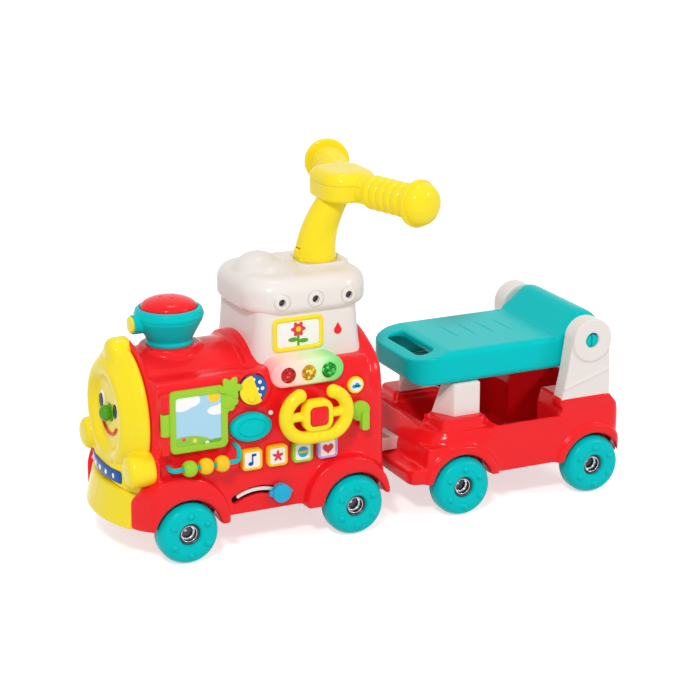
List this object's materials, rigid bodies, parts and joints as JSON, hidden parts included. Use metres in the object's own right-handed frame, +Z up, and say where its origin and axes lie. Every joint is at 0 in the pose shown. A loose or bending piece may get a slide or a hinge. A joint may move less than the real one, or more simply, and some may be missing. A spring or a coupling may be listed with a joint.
{
  "type": "ride-on train with tow wagon",
  "caption": "Toddler ride-on train: play-panel engine with steering wheel, door, buttons and handlebar, towing a wagon whose seat lifts over a storage tub",
  "frame": {"origin": "middle of the whole train's box, on the floor", "axes": "X along the train with the engine's front at -X and the wagon at +X, Y across with the play panel at -Y, Z up"},
  "size_m": [0.701, 0.3082, 0.4545],
  "materials": {
    "red_plastic": "gloss moulded",
    "teal_plastic": "gloss moulded",
    "yellow_plastic": "gloss moulded",
    "white_plastic": "gloss moulded",
    "lime_plastic": "gloss moulded",
    "green_plastic": "gloss moulded",
    "orange_plastic": "gloss moulded",
    "lilac_plastic": "gloss moulded",
    "blue_plastic": "gloss moulded",
    "cyan_plastic": "gloss moulded",
    "clear_lens": "translucent",
    "printed_card": "printed sheet under a clear film",
    "axle_steel": "bright",
    "screw_steel": "blackened",
    "cell_jacket": "printed jacket",
    "board_laminate": "green laminate",
    "speaker_black": "black paper cone and frame"
  },
  "bodies": {
    "locomotive": {"loco_shell_near": "red_plastic", "loco_shell_far": "red_plastic", "loco_base": "red_plastic", "face_mask": "yellow_plastic", "cowcatcher": "yellow_plastic", "name_plate": "blue_plastic", "chimney_funnel": "teal_plastic", "chimney_lamp": "yellow_plastic", "cab_tower": "white_plastic", "cab_roof": "white_plastic", "roof_screws": "screw_steel", "picture_plaque": "yellow_plastic", "drop_lens": "red_plastic", "signal_panel": "clear_lens", "signal_lenses": "clear_lens", "handle_stem": "yellow_plastic", "handle_head": "yellow_plastic", "handle_grips": "yellow_plastic", "bead_rod": "teal_plastic", "dial_back": "blue_plastic", "indicator_lens": "clear_lens", "circuit_board": "board_laminate", "speaker": "speaker_black", "battery_door": "red_plastic", "batteries": "cell_jacket", "loco_axles": "axle_steel", "coupling_pin": "axle_steel"},
    "dome": {"chimney_dome": "red_plastic"},
    "latch": {"stem_latch": "yellow_plastic"},
    "door": {"door_leaf": "lime_plastic", "door_picture": "printed_card"},
    "front_bead": {"bead_front": "lime_plastic"},
    "middle_bead": {"bead_middle": "orange_plastic"},
    "rear_bead": {"bead_rear": "orange_plastic"},
    "flap": {"dial_flap": "yellow_plastic"},
    "oval": {"oval_button": "teal_plastic"},
    "round": {"round_button": "yellow_plastic"},
    "square_1": {"square_button_1": "orange_plastic"},
    "square_2": {"square_button_2": "orange_plastic"},
    "square_3": {"square_button_3": "lime_plastic"},
    "square_4": {"square_button_4": "lilac_plastic"},
    "steering": {"steering_wheel": "yellow_plastic"},
    "horn": {"horn_button": "red_plastic"},
    "lever": {"shift_lever": "lime_plastic"},
    "slider": {"slider_knob": "cyan_plastic"},
    "nose": {"nose_button": "green_plastic"},
    "wagon": {"wagon_tub": "red_plastic", "drawbar": "white_plastic", "front_posts": "white_plastic", "rear_posts": "white_plastic", "wagon_axles": "axle_steel"},
    "seat_lid": {"seat": "teal_plastic"},
    "loco_front_near": {"loco_wheel_front_near": "teal_plastic"},
    "loco_front_far": {"loco_wheel_front_far": "teal_plastic"},
    "loco_rear_near": {"loco_wheel_rear_near": "teal_plastic"},
    "loco_rear_far": {"loco_wheel_rear_far": "teal_plastic"},
    "wagon_front_near": {"wagon_wheel_front_near": "teal_plastic"},
    "wagon_front_far": {"wagon_wheel_front_far": "teal_plastic"},
    "wagon_rear_near": {"wagon_wheel_rear_near": "teal_plastic"},
    "wagon_rear_far": {"wagon_wheel_rear_far": "teal_plastic"}
  },
  "joints": [
    {"name": "dome_press", "type": "slide", "parent": "locomotive", "child": "dome", "axis": [0, 0, -1], "range_m": [0, 0.004], "stiffness_N_per_m": 300, "springref_m": -0.004},
    {"name": "latch_press", "type": "slide", "parent": "locomotive", "child": "latch", "axis": [1, 0, 0], "range_m": [0, 0.0025], "stiffness_N_per_m": 300, "springref_m": -0.003},
    {"name": "door_swing", "type": "hinge", "parent": "locomotive", "child": "door", "pos_m": [-0.29, -0.0999, 0.1805], "axis": [0, 0, -1], "range_deg": [0, 120]},
    {"name": "front_bead_slide", "type": "slide", "parent": "locomotive", "child": "front_bead", "axis": [1, 0, 0], "range_m": [-0.0075, 0.0018]},
    {"name": "middle_bead_slide", "type": "slide", "parent": "locomotive", "child": "middle_bead", "axis": [1, 0, 0], "range_m": [-0.0018, 0.0018]},
    {"name": "rear_bead_slide", "type": "slide", "parent": "locomotive", "child": "rear_bead", "axis": [1, 0, 0], "range_m": [-0.0018, 0.0075]},
    {"name": "flap_turn", "type": "hinge", "parent": "locomotive", "child": "flap", "pos_m": [-0.174, -0.097, 0.208], "axis": [0, 1, 0], "range_deg": [-60, 60]},
    {"name": "oval_press", "type": "slide", "parent": "locomotive", "child": "oval", "axis": [0, 1, 0], "range_m": [0, 0.003], "stiffness_N_per_m": 300, "springref_m": -0.003},
    {"name": "round_press", "type": "slide", "parent": "locomotive", "child": "round", "axis": [0, 1, 0], "range_m": [0, 0.003], "stiffness_N_per_m": 300, "springref_m": -0.003},
    {"name": "square_1_press", "type": "slide", "parent": "locomotive", "child": "square_1", "axis": [0, 1, 0], "range_m": [0, 0.003], "stiffness_N_per_m": 300, "springref_m": -0.003},
    {"name": "square_2_press", "type": "slide", "parent": "locomotive", "child": "square_2", "axis": [0, 1, 0], "range_m": [0, 0.003], "stiffness_N_per_m": 300, "springref_m": -0.003},
    {"name": "square_3_press", "type": "slide", "parent": "locomotive", "child": "square_3", "axis": [0, 1, 0], "range_m": [0, 0.003], "stiffness_N_per_m": 300, "springref_m": -0.003},
    {"name": "square_4_press", "type": "slide", "parent": "locomotive", "child": "square_4", "axis": [0, 1, 0], "range_m": [0, 0.003], "stiffness_N_per_m": 300, "springref_m": -0.003},
    {"name": "steering_turn", "type": "hinge", "parent": "locomotive", "child": "steering", "pos_m": [-0.097, -0.114, 0.17], "axis": [0, 1, 0], "range_deg": [-90, 90]},
    {"name": "horn_press", "type": "slide", "parent": "steering", "child": "horn", "axis": [0, 1, 0], "range_m": [0, 0.0025], "stiffness_N_per_m": 300, "springref_m": -0.003},
    {"name": "lever_swing", "type": "hinge", "parent": "locomotive", "child": "lever", "pos_m": [-0.03, -0.097, 0.16], "axis": [0, 1, 0], "range_deg": [-30, 30]},
    {"name": "slider_sweep", "type": "hinge", "parent": "locomotive", "child": "slider", "pos_m": [-0.167, -0.097, 0.014], "axis": [0, 1, 0], "range_deg": [-54, 0]},
    {"name": "nose_press", "type": "slide", "parent": "locomotive", "child": "nose", "axis": [1, 0, 0], "range_m": [0, 0.003], "stiffness_N_per_m": 300, "springref_m": -0.003},
    {"name": "loco_front_near_spin", "type": "hinge", "parent": "locomotive", "child": "loco_front_near", "pos_m": [-0.265, -0.098, 0.039], "axis": [0, 1, 0], "continuous": true},
    {"name": "loco_front_far_spin", "type": "hinge", "parent": "locomotive", "child": "loco_front_far", "pos_m": [-0.265, 0.098, 0.039], "axis": [0, 1, 0], "continuous": true},
    {"name": "loco_rear_near_spin", "type": "hinge", "parent": "locomotive", "child": "loco_rear_near", "pos_m": [-0.041, -0.098, 0.039], "axis": [0, 1, 0], "continuous": true},
    {"name": "loco_rear_far_spin", "type": "hinge", "parent": "locomotive", "child": "loco_rear_far", "pos_m": [-0.041, 0.098, 0.039], "axis": [0, 1, 0], "continuous": true},
    {"name": "wagon_front_near_spin", "type": "hinge", "parent": "wagon", "child": "wagon_front_near", "pos_m": [0.112, -0.098, 0.039], "axis": [0, 1, 0], "continuous": true},
    {"name": "wagon_front_far_spin", "type": "hinge", "parent": "wagon", "child": "wagon_front_far", "pos_m": [0.112, 0.098, 0.039], "axis": [0, 1, 0], "continuous": true},
    {"name": "wagon_rear_near_spin", "type": "hinge", "parent": "wagon", "child": "wagon_rear_near", "pos_m": [0.305, -0.098, 0.039], "axis": [0, 1, 0], "continuous": true},
    {"name": "wagon_rear_far_spin", "type": "hinge", "parent": "wagon", "child": "wagon_rear_far", "pos_m": [0.305, 0.098, 0.039], "axis": [0, 1, 0], "continuous": true},
    {"name": "tow_yaw", "type": "hinge", "parent": "locomotive", "child": "wagon", "pos_m": [-0.008, 0, 0.0785], "axis": [0, 0, 1], "range_deg": [-15, 15]},
    {"name": "seat_tip", "type": "hinge", "parent": "wagon", "child": "seat_lid", "pos_m": [0.301, 0, 0.21], "axis": [0, 1, 0], "range_deg": [0, 105]}
  ]
}
